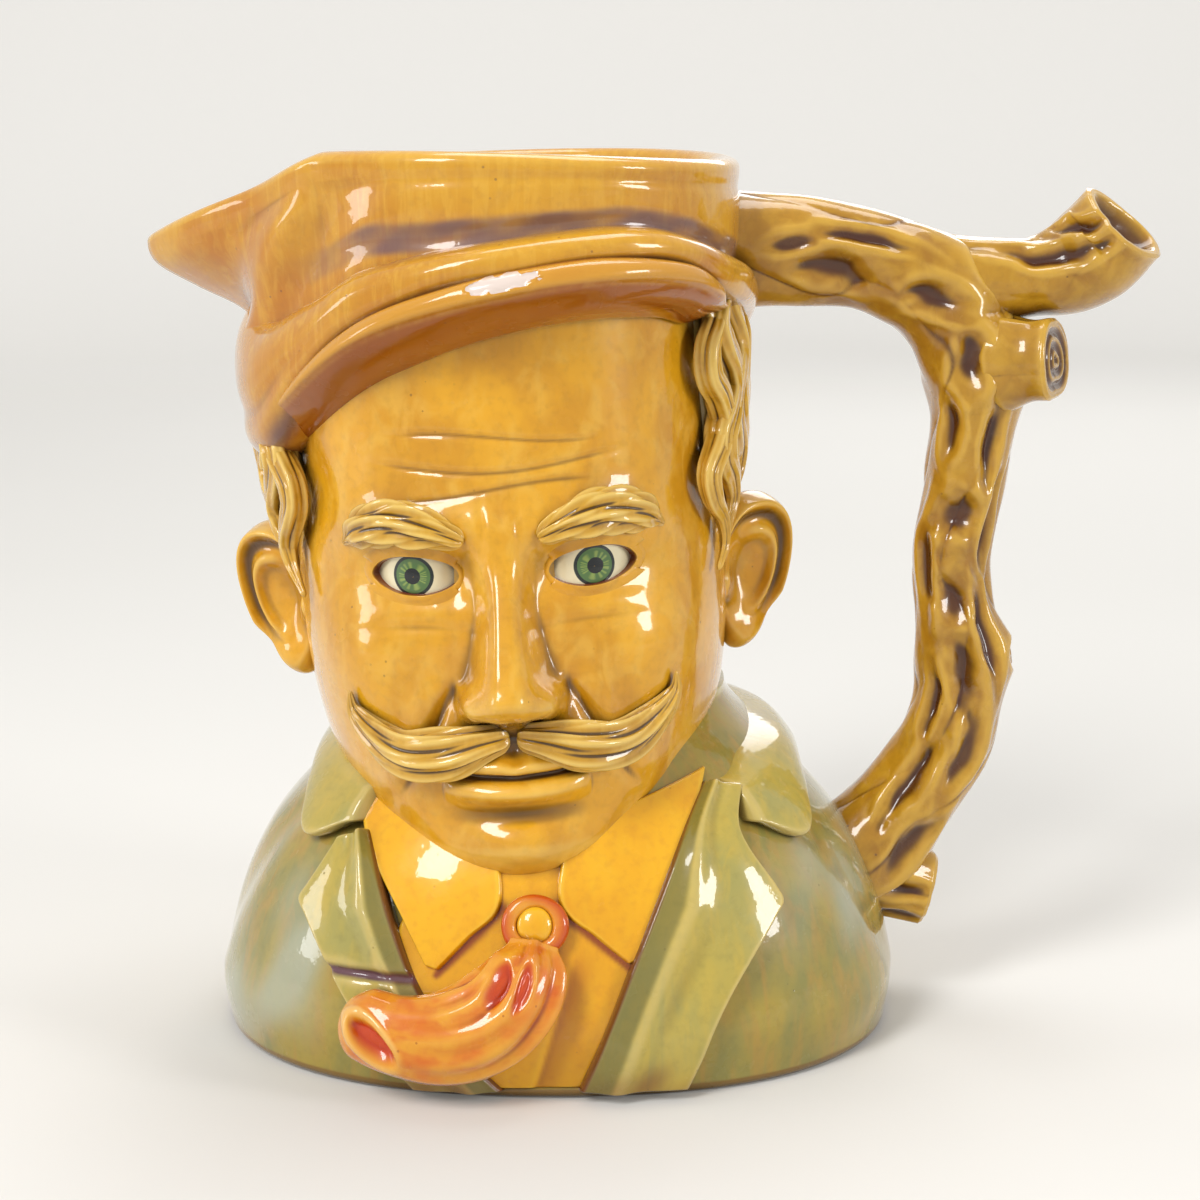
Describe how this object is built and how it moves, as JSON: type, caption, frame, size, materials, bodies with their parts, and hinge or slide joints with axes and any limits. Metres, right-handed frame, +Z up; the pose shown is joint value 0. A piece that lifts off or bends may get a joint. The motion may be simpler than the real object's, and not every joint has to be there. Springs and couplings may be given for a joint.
{
  "type": "toby mug",
  "caption": "Glazed earthenware mug shaped as a head and shoulders in a cap, with a pouring lip and a forked branch handle.",
  "frame": {"origin": "middle of the flat foot, on the surface that the mug stands on", "axes": "+Z up, +X towards the handle and -X towards the pouring lip, -Y where the face looks"},
  "size_m": [0.1855, 0.1175, 0.1623],
  "materials": {
    "glaze_coat": "glossy olive-green glaze, pooled grey-blue and ochre",
    "glaze_skin": "glossy honey-amber glaze, pooled dark in the hollows",
    "glaze_cap": "glossy orange-brown glaze, pooled purple-grey in the folds",
    "glaze_hair": "glossy olive-amber glaze, dark in the locks",
    "glaze_shirt": "glossy golden-yellow glaze",
    "glaze_scarf": "glossy red-orange glaze over yellow",
    "glaze_branch": "glossy amber-brown glaze, near black in the bark hollows"
  },
  "bodies": {
    "root": {"bust_shell": "glaze_coat", "coat_collar": "glaze_coat", "lapel_lip_side": "glaze_coat", "lapel_handle_side": "glaze_coat", "head_shell": "glaze_skin", "ear_lip_side": "glaze_skin", "ear_handle_side": "glaze_skin", "cap_crown": "glaze_cap", "cap_fold": "glaze_cap", "cap_peak": "glaze_cap", "temple_hair_lip_side": "glaze_hair", "temple_hair_handle_side": "glaze_hair", "nape_hair": "glaze_hair", "brow_lip_side": "glaze_hair", "brow_handle_side": "glaze_hair", "moustache_lip_side": "glaze_hair", "moustache_handle_side": "glaze_hair", "shirt_front": "glaze_shirt", "shirt_collar_lip_side": "glaze_shirt", "shirt_collar_handle_side": "glaze_shirt", "scarf_toggle": "glaze_shirt", "scarf_slide": "glaze_scarf", "scarf_tail": "glaze_scarf", "handle_bough": "glaze_branch", "handle_fork": "glaze_branch", "handle_knot": "glaze_branch", "handle_foot_stub": "glaze_branch", "handle_bud": "glaze_branch"}
  },
  "joints": []
}
